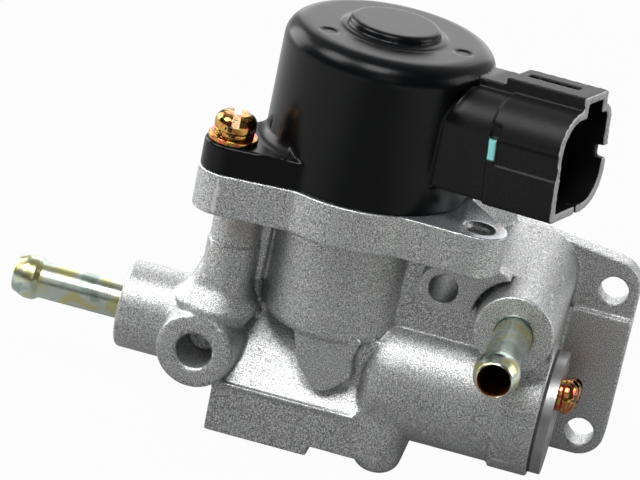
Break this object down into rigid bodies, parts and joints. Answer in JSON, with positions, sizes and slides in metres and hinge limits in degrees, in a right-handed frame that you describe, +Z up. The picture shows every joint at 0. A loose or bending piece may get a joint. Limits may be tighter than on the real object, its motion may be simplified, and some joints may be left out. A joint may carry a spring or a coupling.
{
  "type": "idle air control valve",
  "caption": "Cast aluminium idle air control valve with a black stepping motor and plug socket on top, a bolt flange at the back and hose pipes for warm water.",
  "frame": {"origin": "midway between the two flange bolts, on the mounting face", "axes": "+Y out of the mounting face towards the manifold, +Z up along the motor axis, +X to the right seen from the front"},
  "size_m": [0.1315, 0.0659, 0.095],
  "materials": {
    "cast_aluminium": "fine-grained die-cast, bare",
    "black_moulding": "black glass-filled plastic, gloss drum and satin connector",
    "inner_moulding": "plain moulded plastic",
    "plug_moulding": "dark heat-resistant plastic",
    "zinc_screw": "steel with gold and red passivated zinc",
    "zinc_pipe": "steel with pale green-yellow passivated zinc",
    "steel": "bare steel",
    "cover_plate": "smooth rolled plate",
    "copper": "enamelled copper wire",
    "bronze": "sintered bronze",
    "ferrite": "grey-black ceramic magnet",
    "tinned_brass": "tin-plated brass",
    "rubber": "black rubber",
    "gasket": "grey gasket sheet"
  },
  "bodies": {
    "body": {"valve_body": "cast_aluminium", "motor_housing": "black_moulding", "lobe_sleeves": "steel", "motor_screws": "zinc_screw", "motor_flat_washers": "zinc_screw", "motor_spring_washers": "zinc_screw", "guide_plate": "inner_moulding", "motor_seal_ring": "rubber", "lower_bush": "bronze", "upper_bush": "bronze", "valve_spring": "steel", "left_hose_pipe": "zinc_pipe", "front_hose_pipe": "zinc_pipe", "end_cover": "cover_plate", "cover_gasket": "gasket", "cover_screws": "zinc_screw", "cover_spring_washers": "zinc_screw", "lower_stator_cup": "steel", "lower_stator_plate": "steel", "lower_bobbin": "inner_moulding", "lower_coil": "copper", "upper_stator_cup": "steel", "upper_stator_plate": "steel", "upper_bobbin": "inner_moulding", "upper_coil": "copper", "terminal_pin_1": "tinned_brass", "terminal_pin_2": "tinned_brass", "terminal_pin_3": "tinned_brass", "terminal_pin_4": "tinned_brass", "terminal_pin_5": "tinned_brass", "terminal_pin_6": "tinned_brass"},
    "rotor": {"rotor_hub": "inner_moulding", "rotor_magnet": "ferrite"},
    "valve": {"valve_shaft": "steel", "valve_plug": "plug_moulding"}
  },
  "joints": [
    {"name": "rotor_turn", "type": "hinge", "parent": "body", "child": "rotor", "pos_m": [-0.056, -0.0225, 0.0494], "axis": [0, 0, 1], "range_deg": [0, 1800]},
    {"name": "valve_lift", "type": "slide", "parent": "body", "child": "valve", "axis": [0, 0, 1], "range_m": [0, 0.006], "deforming": ["valve_spring"]}
  ],
  "couplings": [
    {"joint": "valve_lift", "follows": "rotor_turn", "m_per_rad": 0.00019098}
  ]
}
